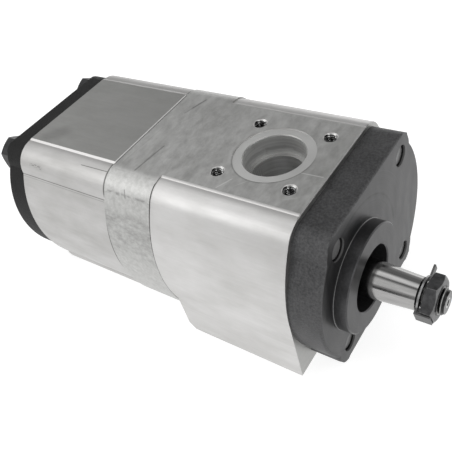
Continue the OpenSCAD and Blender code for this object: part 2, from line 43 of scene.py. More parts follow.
# The photographer's camera: close to the pump, over the tapered end of the
# shaft, turned to the near side and tilted to the right.
camera_spot = Vector((84.93, -151.18, 201.51)) * mm
camera_turn = radians(45.69)
camera_height = radians(42.413)
camera_roll = radians(-17.007)
backwards = Vector((
    sin(camera_turn) * cos(camera_height),
    -cos(camera_turn) * cos(camera_height),
    sin(camera_height),
))
level = Vector((cos(camera_turn), sin(camera_turn), 0))
upright = backwards.cross(level)
rightwards = level * cos(camera_roll) + upright * sin(camera_roll)
upwards = upright * cos(camera_roll) - level * sin(camera_roll)
camera = bpy.data.objects.new("camera", bpy.data.cameras.new("camera"))
camera.matrix_world = Matrix((rightwards, upwards, backwards)).transposed().to_4x4()
camera.location = camera_spot
camera.data.sensor_width = 36
camera.data.lens = 48.14
camera.data.clip_start = 0.01
scene.collection.objects.link(camera)
scene.camera = camera

# Front body: an aluminium extrusion, sawn to length, with both ends and the
# port face milled and the bores turned. It carries the inlet on top and the
# square outlet block underneath.
shaft_to_middle = 15.25 * mm
bolt_from_middle = 30 * mm
front_end = -15 * mm
port_face_height = 42.85 * mm
inlet_place = Vector((-44.2 * mm, shaft_to_middle, port_face_height))
inlet_circle = 51 * mm
spot_face_radius = 18.6 * mm
front_outlet_place = Vector((-50.2 * mm, shaft_to_middle, -40.6 * mm))
front_outlet_circle = 40 * mm
# Beyond this height, up or down, lie only the ports with their holes
ports_from = 20 * mm
# How far off a plane a point may lie and still count as on it
hair = 0.01 * mm


def new_finish(name, roughness, metallic=1.0):
    """An empty material with its shader, for a maker's finish"""
    material = bpy.data.materials.new(name)
    material.use_nodes = True
    shader = material.node_tree.nodes["Principled BSDF"]
    shader.inputs["Metallic"].default_value = metallic
    shader.inputs["Roughness"].default_value = roughness
    return material


def add_node(material, kind, inputs=(), operation=None):
    """A shader node with its first inputs set or linked"""
    node = material.node_tree.nodes.new(kind)
    if operation is not None:
        node.operation = operation
    for socket, value in zip(node.inputs, inputs):
        if isinstance(value, bpy.types.NodeSocket):
            material.node_tree.links.new(value, socket)
        else:
            socket.default_value = value
    return node


def place_on(material, stretch=(1, 1, 1)):
    """Object coordinates in millimetres, squeezed along each axis"""
    where = add_node(material, "ShaderNodeTexCoord").outputs["Object"]
    mapping = add_node(material, "ShaderNodeMapping", (where,))
    mapping.inputs["Scale"].default_value = [1000 * s for s in stretch]
    return mapping.outputs["Vector"]


def grain(material, stretch, size, detail=3, roughness=0.55):
    """Noise with spots of the given size in millimetres"""
    noise = add_node(material, "ShaderNodeTexNoise", (place_on(material, stretch),))
    noise.inputs["Scale"].default_value = 1 / size
    noise.inputs["Detail"].default_value = detail
    noise.inputs["Roughness"].default_value = roughness
    return noise.outputs["Fac"]


def spread(material, value, start, end, low, high):
    """The value's stretch from start to end, spread from low to high"""
    ramp = add_node(material, "ShaderNodeMapRange", (value,))
    ramp.inputs["From Min"].default_value = start
    ramp.inputs["From Max"].default_value = end
    ramp.inputs["To Min"].default_value = low
    ramp.inputs["To Max"].default_value = high
    return ramp.outputs["Result"]


def combine(material, how, first, second):
    """Two values worked together in the way that is named"""
    return add_node(material, "ShaderNodeMath", (first, second), how).outputs["Value"]


def absolute(material, value):
    """The value without its sign"""
    return add_node(material, "ShaderNodeMath", (value,), "ABSOLUTE").outputs["Value"]


def place_along(material, axis):
    """The place along one axis, in millimetres"""
    return add_node(material, "ShaderNodeSeparateXYZ", (place_on(material),)).outputs[axis]


def shade_between(material, share, first, second):
    """A colour between two, by the share of the second"""
    mix = material.node_tree.nodes.new("ShaderNodeMix")
    mix.data_type = "RGBA"
    material.node_tree.links.new(share, mix.inputs["Factor"])
    for socket, colour in zip((mix.inputs[6], mix.inputs[7]), (first, second)):
        if isinstance(colour, bpy.types.NodeSocket):
            material.node_tree.links.new(colour, socket)
        else:
            socket.default_value = (*colour, 1)
    return mix.outputs[2]


def paint(material, colour=None, roughness=None, height=None, depth=0.01):
    """Feeds colour, roughness and relief to the shader, depth in millimetres"""
    links = material.node_tree.links
    shader = material.node_tree.nodes["Principled BSDF"]
    if colour is not None:
        links.new(colour, shader.inputs["Base Color"])
    if roughness is not None:
        links.new(roughness, shader.inputs["Roughness"])
    if height is not None:
        relief = material.node_tree.nodes.new("ShaderNodeBump")
        links.new(height, relief.inputs["Height"])
        relief.inputs["Distance"].default_value = depth * mm
        relief.inputs["Strength"].default_value = 1
        links.new(relief.outputs["Normal"], shader.inputs["Normal"])
    return material


def paint_over(material, share, colour):
    """Lays another colour over the finish, by its share"""
    shader = material.node_tree.nodes["Principled BSDF"]
    plain = shader.inputs["Base Color"].links[0].from_socket
    return paint(material, shade_between(material, share, plain, colour))


def line_along(material, start, end, width):
    """One on the line between two points in millimetres, and zero a width off it"""
    start = Vector(start)
    along = Vector(end) - start
    off = add_node(material, "ShaderNodeVectorMath", (place_on(material), start), "SUBTRACT")
    per_length = along / along.length_squared
    share = add_node(material, "ShaderNodeVectorMath", (off.outputs[0], per_length), "DOT_PRODUCT")
    share = spread(material, share.outputs["Value"], 0, 1, 0, 1)
    nearest = add_node(material, "ShaderNodeVectorMath", (along,), "SCALE")
    material.node_tree.links.new(share, nearest.inputs["Scale"])
    gap = add_node(material, "ShaderNodeVectorMath", (off.outputs[0], nearest.outputs[0]), "DISTANCE")
    return spread(material, gap.outputs["Value"], 0.25 * width, width, 1, 0)


def marks(material, lines):
    """The lines together, each with its start, end, width and strength"""
    total = None
    for start, end, width, strength in lines:
        line = combine(material, "MULTIPLY", line_along(material, start, end, width), strength)
        total = combine(material, "MAXIMUM", total, line) if total else line
    return total


def extruded_aluminium(name, dark, light):
    """Satin aluminium with faint lines along the extrusion and cloudy spots"""
    material = new_finish(name, 0.42)
    lines = grain(material, (0.03, 1, 1), 0.9, 4)
    clouds = grain(material, (0.4, 1, 1), 11, 5, 0.6)
    share = combine(material, "ADD", spread(material, clouds, 0.32, 0.68, 0, 0.75),
                    spread(material, lines, 0.3, 0.7, 0, 0.25))
    colour = shade_between(material, share, dark, light)
    return paint(material, colour, spread(material, clouds, 0.3, 0.7, 0.5, 0.4), lines, 0.005)


def milled_top():
    """The milled upper faces: blotchy, with faint tool lines, handling scratches, dark rubs and a ring of
    painted shade outside the spot face on its near side
    """
    material = new_finish("milled_top", 0.42)
    blotches = grain(material, (0.9, 0.45, 1), 2.6, 6, 0.66)
    clouds = grain(material, (1, 0.6, 1), 17, 4)
    share = combine(material, "ADD", spread(material, blotches, 0.3, 0.7, 0, 0.6),
                    spread(material, clouds, 0.3, 0.7, 0, 0.4))
    colour = shade_between(material, share, (0.39, 0.39, 0.38), (0.62, 0.62, 0.61))
    top = port_face_height / mm
    scratches = marks(material, (
        ((-56.5, -12.1, top), (-53, -5, top), 0.45, 0.4),
        ((-26.9, 8, top), (-17, 8.5, top), 0.4, 0.5),
        ((-62, 8.5, top), (-60.4, 9.3, top), 0.5, 0.35),
        ((-49, -8, top), (-45.5, -3.5, top), 0.4, 0.2),
        ((-26, -9, top), (-21, -6, top), 0.4, 0.15),
    ))
    rubs = marks(material, (
        ((-103.3, 34.7, top), (-100.7, 42.6, top), 0.8, 0.6),
        ((-104.8, 30, top), (-103.4, 34.5, top), 0.7, 0.3),
        ((-100.5, -15.1, top), (-98.3, 4.1, top), 0.6, 0.55),
        ((-100, -8, top), (-99.2, -2, top), 0.9, 0.35),
        ((-110.5, -13, top), (-108.5, 16, top), 0.5, 0.15),
        ((-113.85, -15, top), (-113.85, 43, top), 0.55, 0.9),
    ))
    # Painted shade: a dark ring just outside the spot face, on its near side
    centre = inlet_place / mm
    off_inlet = add_node(material, "ShaderNodeVectorMath", (place_on(material), centre), "DISTANCE")
    recess_edge_shade = spread(material, off_inlet.outputs["Value"], 19.4, 18.7, 0, 0.5)
    near_side = spread(material, place_along(material, "Y"), 19, 11, 0.1, 1)
    recess_edge_shade = combine(material, "MULTIPLY", recess_edge_shade, near_side)
    colour = shade_between(material, scratches, colour, (0.95, 0.95, 0.94))
    colour = shade_between(material, combine(material, "MAXIMUM", rubs, recess_edge_shade), colour, (0.12, 0.12, 0.115))
    return paint(material, colour, spread(material, blotches, 0.3, 0.7, 0.38, 0.48), blotches, 0.012)


def milled_aluminium():
    """Milled ends and underside: fine tool lines across the pump"""
    material = new_finish("milled_aluminium", 0.38)
    lines = grain(material, (1, 0.03, 1), 0.7, 4)
    clouds = grain(material, (1, 0.6, 1), 10, 5)
    share = combine(material, "ADD", spread(material, lines, 0.3, 0.7, 0, 0.5),
                    spread(material, clouds, 0.3, 0.7, 0, 0.5))
    colour = shade_between(material, share, (0.33, 0.33, 0.32), (0.42, 0.42, 0.41))
    return paint(material, colour, spread(material, clouds, 0.3, 0.7, 0.34, 0.44), lines, 0.008)


def turned_aluminium(name, dark, light):
    """Bores and faces cut by a turning tool: even, with the rings that it leaves"""
    material = new_finish(name, 0.5)
    lines = grain(material, (0.02, 0.02, 1), 0.7, 3)
    colour = shade_between(material, spread(material, lines, 0.35, 0.65, 0, 1), dark, light)
    return paint(material, colour, spread(material, lines, 0.3, 0.7, 0.46, 0.56), lines, 0.01)


def plain_finish(name, dark, light, roughness, metallic=1.0, size=1.5):
    """A small surface with only a cloudy change of tone"""
    material = new_finish(name, roughness, metallic)
    return paint(material, shade_between(material, grain(material, (1, 1, 1), size, 4), dark, light))


# A painted highlight: bright grey on the near sloped ledges and on the rear body's top edge at the flange
# joint
edge_highlight = plain_finish("edge_highlight", (0.70, 0.69, 0.68), (0.82, 0.81, 0.80), 0.38)
filed_edge = plain_finish("filed_edge", (0.3, 0.3, 0.295), (0.5, 0.5, 0.49), 0.42)
# Painted shade: near black on the walls inside the tapped holes
shaded_hole_wall = plain_finish("shaded_hole_wall", (0.02, 0.02, 0.02), (0.06, 0.06, 0.06), 0.45)
seam_grime = plain_finish("seam_grime", (0.02, 0.02, 0.02), (0.05, 0.05, 0.05), 0.6, 0.3)
body_aluminium = extruded_aluminium("front_extrusion", (0.50, 0.495, 0.485), (0.60, 0.595, 0.59))
milled_face = milled_aluminium()
top_face = milled_top()
turned_bore = turned_aluminium("turned_bore", (0.66, 0.66, 0.65), (0.82, 0.82, 0.81))
spot_face = turned_aluminium("spot_face", (0.6, 0.6, 0.59), (0.67, 0.67, 0.66))
# The bore's deep ledge: the turned finish painted darker, as painted shade in the bore
shaded_bore_ledge = turned_aluminium("shaded_bore_ledge", (0.3, 0.3, 0.295), (0.4, 0.4, 0.395))


def workpiece_of(node, name):
    """A new piece with the CAD node's shape, cleaned of its triangles, to be worked on"""
    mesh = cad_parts[node].data.copy()
    mesh.name = name
    for attribute in [a for a in mesh.attributes if a.name == "custom_normal"]:
        mesh.attributes.remove(attribute)
    mesh.materials.clear()
    piece = bpy.data.objects.new(name, mesh)
    scene.collection.objects.link(piece)
    shape = bmesh.new()
    shape.from_mesh(mesh)
    bmesh.ops.remove_doubles(shape, verts=shape.verts, dist=0.002 * mm)
    bmesh.ops.dissolve_limit(shape, angle_limit=radians(0.2), verts=shape.verts, edges=shape.edges)
    return piece, shape


def hard_edges(shape, chosen, angle=25):
    """The shape's edges sharper than the angle whose middle the test takes"""
    found = []
    for edge in shape.edges:
        if len(edge.link_faces) == 2 and edge.calc_face_angle(0) > radians(angle):
            if chosen((edge.verts[0].co + edge.verts[1].co) / 2):
                found.append(edge)
    return found


def break_edges(shape, edges, width, slot=-1, rounds=2):
    """Files the chosen edges round, and gives them the finish in the slot"""
    bmesh.ops.bevel(shape, geom=edges, offset=width, offset_type="OFFSET", segments=rounds,
                    profile=0.5, affect="EDGES", clamp_overlap=False, material=slot)


def finish_piece(piece, shape, finishes, choose=None, smooth_below=15, has_flats=True):
    """Writes the shape back, gives each face but the filed ones its finish and shades the rounds smooth"""
    for finish in finishes:
        piece.data.materials.append(finish)
    shape.normal_update()
    for face in shape.faces:
        face.smooth = True
        if choose is not None and face.material_index == 0:
            face.material_index = finishes.index(choose(face))
    shape.to_mesh(piece.data)
    shape.free()
    piece.data.set_sharp_from_angle(angle=radians(smooth_below))
    if has_flats:
        flats = piece.modifiers.new("flats_stay_flat", "WEIGHTED_NORMAL")
        flats.keep_sharp = True


def off_port(place, port):
    """Distance from a port's axis"""
    return hypot(place.x - port.x, place.y - port.y)


def off_bolt(place):
    """Distance from the axis of the nearest housing bolt"""
    return hypot(abs(place.y - shaft_to_middle) - bolt_from_middle, abs(place.z) - bolt_from_middle)


def in_tapped_hole(place, port, circle):
    """True near one of the four tapped holes round a port"""
    hole_off_port = circle / sqrt(8)
    off_hole = abs(abs(place.x - port.x) - hole_off_port) + abs(abs(place.y - port.y) - hole_off_port)
    return off_hole < 3.2 * mm


def inlet_finish(place, up):
    """Spot face and its step, broken mouth, the ledge painted dark as shade, and bore walls, by the height
    and the upward slope
    """
    if abs(off_port(place, inlet_place) - spot_face_radius) < 0.3 * mm and abs(up) < 0.2:
        return body_aluminium
    if 0.2 < up < 0.95:
        return milled_face
    if up < 0.95:
        return turned_bore
    return spot_face if place.z > port_face_height - 2 * mm else shaded_bore_ledge


def body_finish(face):
    """Milled top, ends and underside, the ports, tapped holes painted dark as shade and the extruded skin"""
    middle = face.calc_center_median()
    up = face.normal.z
    if up > 0.99 and middle.z > port_face_height - hair:
        return top_face
    if up < -0.99 and middle.z < -40 * mm:
        return milled_face
    if middle.z > ports_from:
        if in_tapped_hole(middle, inlet_place, inlet_circle) and up < 0.5:
            return shaded_hole_wall
        if off_port(middle, inlet_place) < spot_face_radius + 0.4 * mm:
            return inlet_finish(middle, up)
    if middle.z < -ports_from:
        if in_tapped_hole(middle, front_outlet_place, front_outlet_circle) and up > -0.5:
            return shaded_hole_wall
        if off_port(middle, front_outlet_place) < 10.5 * mm:
            return turned_bore
    return milled_face if abs(face.normal.x) > 0.99 else body_aluminium


def outline_end(place, ends):
    """True on the outer edge of a sawn end"""
    at_end = min(abs(place.x - end) for end in ends) < hair
    off_middle = abs(place.y - shaft_to_middle)
    outside = abs(place.z) > 40 * mm or off_middle > 47 * mm or off_bolt(place) > 9 * mm
    return at_end and outside and (abs(place.z) > 36 * mm or off_middle > 36 * mm)


def slope_ledges(shape, slot):
    """Slopes the milled faces' long edges down to the shoulders. The near ones get the finish in the slot, a
    painted highlight
    """
    slope_width = 1.4 * mm
    slope_drop = 0.36 * mm
    for side in (-1, 1):
        where = Vector((0, shaft_to_middle + side * (bolt_from_middle - slope_width), 0))
        everything = shape.verts[:] + shape.edges[:] + shape.faces[:]
        bmesh.ops.bisect_plane(shape, geom=everything, plane_co=where, plane_no=(0, 1, 0), dist=1e-7)
    for vertex in shape.verts:
        off_middle = abs(vertex.co.y - shaft_to_middle)
        if abs(off_middle - bolt_from_middle) < hair and abs(vertex.co.z) > port_face_height - hair:
            vertex.co.z -= slope_drop if vertex.co.z > 0 else -slope_drop
    shape.normal_update()
    for face in shape.faces:
        middle = face.calc_center_median()
        near_ledge = shaft_to_middle - middle.y > bolt_from_middle - slope_width
        if near_ledge and 0.8 < abs(face.normal.z) < 0.98 and abs(middle.z) > port_face_height - slope_drop:
            face.material_index = slot


def top_edge(place, end):
    """True on the milled top's edge at one end"""
    return abs(place.x - end) < hair and place.z > port_face_height - 0.5 * mm


def side_outline(place, end):
    """True on the outline of a sawn end, but for its top"""
    return outline_end(place, [end]) and place.z < 40 * mm


front_body, body_shape = workpiece_of("front_body", "front_body_extrusion")
body_finishes = [body_aluminium, milled_face, turned_bore, top_face, edge_highlight, shaded_hole_wall,
                 spot_face, shaded_bore_ledge, filed_edge]
slope_ledges(body_shape, body_finishes.index(edge_highlight))
cover_joint = hard_edges(body_shape, lambda place: top_edge(place, front_end))
break_edges(body_shape, cover_joint, 0.4 * mm, body_finishes.index(filed_edge), 1)
break_edges(body_shape, hard_edges(body_shape, lambda place: side_outline(place, front_end)), 0.2 * mm)
finish_piece(front_body, body_shape, body_finishes, body_finish)
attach(front_body, "housing")
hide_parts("front_body")

# Threads in the ports' tapped holes: cut M6 threads, painted light where they lie
# more than 42 mm from the middle height, as at the inlet holes' mouths, painted
# shade nearer it, and bright specks on them as painted glints. Each port has four
# of them on a circle round its bore.
tap_crest = 2.45 * mm
tap_root = 3.02 * mm
tap_pitch = 1 * mm
tapped_depth = 11.5 * mm
cut_thread = new_finish("cut_thread", 0.18)
from_mid_height = absolute(cut_thread, place_along(cut_thread, "Z"))
thread_glints = spread(cut_thread, grain(cut_thread, (1, 1, 1), 0.5, 2), 0.52, 0.6, 0, 0.6)
# Painted light above 42.3 mm from the middle height and painted shade below it, with painted glints as specks
painted_thread_light = combine(cut_thread, "MAXIMUM", spread(cut_thread, from_mid_height, 41.7, 42.3, 0, 0.5),
                       thread_glints)
paint(cut_thread, shade_between(cut_thread, painted_thread_light, (0.03, 0.03, 0.03), (0.8, 0.8, 0.79)))


def thread_ridge(shape, crest, root, pitch, turns, place, lean=Matrix.Identity(3), steps=28, taper=0):
    """A helical ridge from its root to its crest, wound along the local z axis, thinner at a tapered start"""
    last = None
    for step in range(int(turns * steps) + 1):
        angle = 2 * pi * step / steps
        rise = pitch * step / steps
        fade = min(1, step / steps / taper, (turns - step / steps) / taper) if taper else 1
        peak = root + (crest - root) * fade
        section = []
        for radius, height in ((root, -0.46), (peak, -0.07), (peak, 0.07), (root, 0.46)):
            point = Vector((radius * cos(angle), radius * sin(angle), rise + height * pitch))
            section.append(shape.verts.new(place + lean @ point))
        if last:
            for a in range(3):
                shape.faces.new((last[a], section[a], section[a + 1], last[a + 1]))
        last = section


def tapped_holes(name, port, circle, up):
    """The threads of four holes on a circle round a port, which looks up or, at minus one, down"""
    mesh = bpy.data.meshes.new(name)
    piece = bpy.data.objects.new(name, mesh)
    scene.collection.objects.link(piece)
    shape = bmesh.new()
    for quarter in range(4):
        angle = radians(45 + 90 * quarter)
        hole = port + Vector((cos(angle), sin(angle), 0)) * circle / 2
        bottom = hole - Vector((0, 0, up * (tapped_depth + 0.5 * mm)))
        thread_ridge(shape, tap_crest, tap_root, tap_pitch, tapped_depth / tap_pitch, bottom,
                     Matrix.Diagonal((1, 1, up)), taper=0.4)
    finish_piece(piece, shape, [cut_thread])
    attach(piece, "housing")


rear_outlet_place = Vector((-145.05 * mm, shaft_to_middle, -port_face_height))
rear_outlet_circle = 35 * mm
tapped_holes("inlet_threads", inlet_place, inlet_circle, 1)
tapped_holes("front_outlet_threads", front_outlet_place, front_outlet_circle, -1)
tapped_holes("rear_outlet_threads", rear_outlet_place, rear_outlet_circle, -1)

# Intermediate flange: a gravity casting between the two bodies, shot blasted,
# with the two joint faces milled. Handling has left dark marks on it, and a
# line of painted shade runs along its near shoulder.
flange_ends = (-114 * mm, -85.4 * mm)


def flange_casting():
    """Blasted cast aluminium: mottled and rough, with smears where it was handled and a line of painted shade
    along its near shoulder
    """
    material = new_finish("flange_casting", 0.44)
    mottle = grain(material, (1, 1, 1), 2.4, 6, 0.7)
    streaks = grain(material, (0.35, 1, 0.9), 1.8, 6, 0.7)
    skin = grain(material, (1, 1, 1), 0.8, 3)
    patches = grain(material, (0.6, 1, 1), 2.2, 4)
    colour = shade_between(material, spread(material, mottle, 0.32, 0.68, 0, 1),
                           (0.38, 0.38, 0.37), (0.55, 0.55, 0.54))
    height = place_along(material, "Z")
    smeared = combine(material, "MULTIPLY", spread(material, height, 0, 14, 0.15, 1),
                      spread(material, height, 31, 26, 0, 1))
    smeared = combine(material, "MULTIPLY", smeared, spread(material, streaks, 0.4, 0.66, 0.12, 0.5))
    # Painted shade: a dark patchy line along the near shoulder crease, under its highlight
    painted_shading_line = line_along(material, (-113, -25.9, 36), (-86, -25.7, 36.2), 1.1)
    painted_shading_line = combine(material, "MULTIPLY", painted_shading_line, spread(material, patches, 0.46, 0.62, 0, 0.55))
    nicks = marks(material, (
        ((-101, -24.5, 38.4), (-100.3, -26.4, 35.4), 0.45, 0.7),
        ((-109.3, -35.2, 8.8), (-108.6, -35.2, 7.8), 0.6, 0.6),
        ((-106.5, -35.3, -8), (-105, -35.2, -9.2), 0.5, 0.4),
    ))
    dirt_and_shade = combine(material, "MAXIMUM", combine(material, "MAXIMUM", smeared, painted_shading_line), nicks)
    relief = combine(material, "SUBTRACT", skin, combine(material, "MULTIPLY", nicks, 0.8))
    return paint(material, shade_between(material, dirt_and_shade, colour, (0.17, 0.17, 0.165)),
                 spread(material, mottle, 0.3, 0.7, 0.38, 0.5), relief, 0.03)


def flange_edge(place):
    """The flange's outline at both ends, but for the top, which is milled flush"""
    return outline_end(place, flange_ends) and place.z < 42 * mm


cast_skin = flange_casting()


def flange_finish(face):
    """The milled top and joint faces, and the cast skin"""
    if face.normal.z > 0.99 and face.calc_center_median().z > 42 * mm:
        return top_face
    return milled_face if abs(face.normal.x) > 0.99 else cast_skin


flange, flange_shape = workpiece_of("intermediate_flange", "flange_casting")
flange_finishes = [cast_skin, milled_face, seam_grime, top_face]
break_edges(flange_shape, hard_edges(flange_shape, flange_edge), 0.22 * mm,
            flange_finishes.index(seam_grime), 1)
finish_piece(flange, flange_shape, flange_finishes, flange_finish)
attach(flange, "housing")
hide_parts("intermediate_flange")

# Rear body: the same kind of extrusion as the front one, shorter, with bulging
# sides that leave a crease under each corner. It carries the second outlet.
joint_end = flange_ends[0]
crease_height = 29.92 * mm
second_crease_below = 0.95 * mm
crease_from_middle = 41 * mm


def rear_aluminium():
    """The extruded finish with a scratch, some scuffs, painted shade in its creases and grime at the joint"""
    material = extruded_aluminium("rear_extrusion", (0.41, 0.405, 0.395), (0.51, 0.505, 0.50))
    scratch = line_along(material, (-132.4, -19.9, 41.3), (-114.6, -19.6, 41.5), 0.3)
    specks = spread(material, grain(material, (1, 1, 1), 0.8, 3), 0.5, 0.6, 0, 0.6)
    scuffs = line_along(material, (-168.3, -25.3, 36.6), (-160, -25.6, 36.2), 1.3)
    scuffs = combine(material, "MULTIPLY", scuffs, specks)
    across = place_along(material, "Y")
    off_middle = absolute(material, combine(material, "SUBTRACT", across, shaft_to_middle / mm))
    beside = combine(material, "GREATER_THAN", off_middle, crease_from_middle / mm)
    from_mid_height = absolute(material, place_along(material, "Z"))
    # Painted shade: dark lines along the crease under each corner, and a fainter second one just below it
    under_crease = combine(material, "SUBTRACT", crease_height / mm, from_mid_height)
    crease_shade = spread(material, absolute(material, under_crease), 0.1, 0.35, 0.7, 0)
    second = absolute(material, combine(material, "SUBTRACT", under_crease, second_crease_below / mm))
    crease_shade = combine(material, "MAXIMUM", crease_shade, spread(material, second, 0.05, 0.25, 0.35, 0))
    crease_shade = combine(material, "MULTIPLY", crease_shade, beside)
    joint = joint_end / mm
    seam = spread(material, place_along(material, "X"), joint - 1.2, joint - 0.9, 0, 0.85)
    dirt_and_shade = combine(material, "MAXIMUM", crease_shade, seam)
    dirt_and_shade = combine(material, "MAXIMUM", combine(material, "MULTIPLY", scratch, 0.8),
                    combine(material, "MAXIMUM", scuffs, dirt_and_shade))
    return paint_over(material, dirt_and_shade, (0.1, 0.1, 0.095))


def rear_top_finish():
    """The rear body's milled top, with a painted highlight along the joint edge and a smudge at the far end
    """
    material = extruded_aluminium("rear_milled_top", (0.32, 0.32, 0.31), (0.41, 0.41, 0.40))
    joint = joint_end / mm
    top = port_face_height / mm
    # Painted highlight: a bright band on the top along the flange joint's edge
    painted_shading_line = spread(material, place_along(material, "X"), joint - 1, joint - 0.8, 0, 0.9)
    smudge = line_along(material, (-167, -9, top), (-162, -4, top), 7)
    smudge = combine(material, "MULTIPLY", smudge, 0.3)
    paint_over(material, painted_shading_line, (0.95, 0.95, 0.94))
    return paint_over(material, smudge, (0.15, 0.15, 0.145))


rear_skin = rear_aluminium()
rear_top = rear_top_finish()


def rear_finish(face):
    """Milled top, ends and underside, turned outlet, tapped holes painted dark as shade and the extruded skin
    """
    middle = face.calc_center_median()
    up = face.normal.z
    if up > 0.99 and middle.z > port_face_height - hair:
        return rear_top
    if up < -0.99 and middle.z < -40 * mm:
        return milled_face
    if middle.z < -ports_from:
        if in_tapped_hole(middle, rear_outlet_place, rear_outlet_circle) and up > -0.5:
            return shaded_hole_wall
        if off_port(middle, rear_outlet_place) < 8.5 * mm:
            return turned_bore
    return milled_face if abs(face.normal.x) > 0.99 else rear_skin


rear_body, rear_shape = workpiece_of("rear_body", "rear_body_extrusion")
rear_finishes = [rear_skin, milled_face, turned_bore, edge_highlight, shaded_hole_wall, seam_grime, rear_top]
slope_ledges(rear_shape, rear_finishes.index(edge_highlight))
# The rear body's top edge at the flange joint gets the painted highlight
flange_joint = hard_edges(rear_shape, lambda place: top_edge(place, joint_end))
break_edges(rear_shape, flange_joint, 0.4 * mm, rear_finishes.index(edge_highlight), 1)
joint_outline = hard_edges(rear_shape, lambda place: side_outline(place, joint_end))
break_edges(rear_shape, joint_outline, 0.2 * mm, rear_finishes.index(seam_grime), 1)
finish_piece(rear_body, rear_shape, rear_finishes, rear_finish, smooth_below=8)
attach(rear_body, "housing")
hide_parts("rear_body")

# Covers: grey iron castings. The front one has a machined face and a turned
# pilot that centres the pump, the rear one is painted black all over.


def cast_iron(name, dark, light, roughness, grain_depth, metallic=0.6):
    """Cast skin: a fine sandy grain, a little lighter on its high spots"""
    material = new_finish(name, roughness, metallic)
    sand = grain(material, (1, 1, 1), 1, 4, 0.7)
    clouds = grain(material, (1, 1, 1), 9, 4)
    share = combine(material, "ADD", spread(material, sand, 0.38, 0.66, 0, 0.7),
                    spread(material, clouds, 0.3, 0.7, 0, 0.3))
    return paint(material, shade_between(material, share, dark, light),
                 spread(material, sand, 0.3, 0.7, roughness - 0.06, roughness + 0.08), sand, grain_depth)


def off_shaft(material):
    """Distance from the shaft's axis, in millimetres"""
    across = place_along(material, "Y")
    up = place_along(material, "Z")
    squares = combine(material, "ADD", combine(material, "MULTIPLY", across, across),
                      combine(material, "MULTIPLY", up, up))
    return combine(material, "POWER", squares, 0.5)


def machined_iron():
    """Faced iron: rings of the tool about the shaft, one dark circle and a faint smear of oil"""
    material = new_finish("machined_iron", 0.34, 0.85)
    radius = off_shaft(material)
    rings = material.node_tree.nodes.new("ShaderNodeTexNoise")
    rings.noise_dimensions = "1D"
    rings.inputs["Scale"].default_value = 1.6
    rings.inputs["Detail"].default_value = 3
    material.node_tree.links.new(radius, rings.inputs["W"])
    smear = grain(material, (1, 1, 0.4), 6, 5)
    share = combine(material, "ADD", spread(material, rings.outputs["Fac"], 0.3, 0.7, 0, 0.35),
                    spread(material, smear, 0.3, 0.7, 0, 0.65))
    colour = shade_between(material, share, (0.02, 0.02, 0.021), (0.052, 0.052, 0.053))
    circle_radius = 35.6
    circle = absolute(material, combine(material, "SUBTRACT", radius, circle_radius))
    circle = spread(material, circle, 0.2, 0.7, 0.7, 0)
    colour = shade_between(material, circle, colour, (0.012, 0.012, 0.012))
    return paint(material, colour, spread(material, smear, 0.3, 0.7, 0.3, 0.42),
                 rings.outputs["Fac"], 0.006)


pilot_radius = 25 * mm
front_iron = cast_iron("front_cover_casting", (0.036, 0.036, 0.037), (0.1, 0.1, 0.102), 0.52, 0.14)
faced_iron = machined_iron()
pilot_iron = cast_iron("turned_pilot", (0.05, 0.05, 0.052), (0.075, 0.075, 0.077), 0.34, 0.006, 0.8)
# A painted highlight: lighter grey on the small round at the pilot's foot
foot_highlight = plain_finish("pilot_foot", (0.12, 0.12, 0.12), (0.2, 0.2, 0.2), 0.35)
# Painted shade in the bolt recesses: near black deep down, grey at the mouth
recess_shade = new_finish("recess_shade", 0.6, 0.2)
at_mouth = spread(recess_shade, place_along(recess_shade, "X"), -0.85, -0.75, 0, 1)
paint(recess_shade, shade_between(recess_shade, at_mouth, (0.004, 0.004, 0.004), (0.12, 0.12, 0.12)))


def front_cover_finish(face):
    """The machined front and pilot face, bolt holes painted dark as shade, the turned pilot wall and the cast
    band
    """
    middle = face.calc_center_median()
    if face.normal.x > 0.99 and middle.x > -1 * mm:
        return faced_iron
    if off_bolt(middle) < 5.3 * mm:
        return recess_shade
    if hypot(middle.y, middle.z) < pilot_radius + 1.5 * mm and middle.x > -0.6 * mm:
        return pilot_iron
    return front_iron


def cover_outside(place):
    """True on a cover's outer walls"""
    return abs(place.z) > 40 * mm or abs(place.y - shaft_to_middle) > 38 * mm


def cover_rim(place):
    """True on the cover's outer edge at its front face"""
    off_middle = abs(place.y - shaft_to_middle)
    in_corner = off_middle > bolt_from_middle and abs(place.z) > bolt_from_middle
    return abs(place.x) < hair and cover_outside(place) and (off_bolt(place) > 9 * mm or not in_corner)


def pilot_foot(place):
    """True on the inner corner between the pilot and the machined face"""
    return abs(place.x) < hair and abs(hypot(place.y, place.z) - pilot_radius) < 0.1 * mm


front_cover, cover_shape = workpiece_of("front_cover", "front_cover_casting")
cover_finishes = [front_iron, faced_iron, pilot_iron, recess_shade, foot_highlight]
break_edges(cover_shape, hard_edges(cover_shape, pilot_foot), 0.25 * mm, cover_finishes.index(foot_highlight))
break_edges(cover_shape, hard_edges(cover_shape, cover_rim), 1.3 * mm, 0, 4)
finish_piece(front_cover, cover_shape, cover_finishes, front_cover_finish)
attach(front_cover, "housing")
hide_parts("front_cover")

rear_paint = cast_iron("rear_cover_paint", (0.004, 0.004, 0.004), (0.016, 0.016, 0.016), 0.55, 0.12, 0)
rear_paint.node_tree.nodes["Principled BSDF"].inputs["Specular IOR Level"].default_value = 0.14
rear_cover_end = -190.6 * mm


def rear_rim(place):
    """True on the rear cover's outer edge at its back"""
    return abs(place.x - rear_cover_end) < hair and cover_outside(place) and off_bolt(place) > 9 * mm


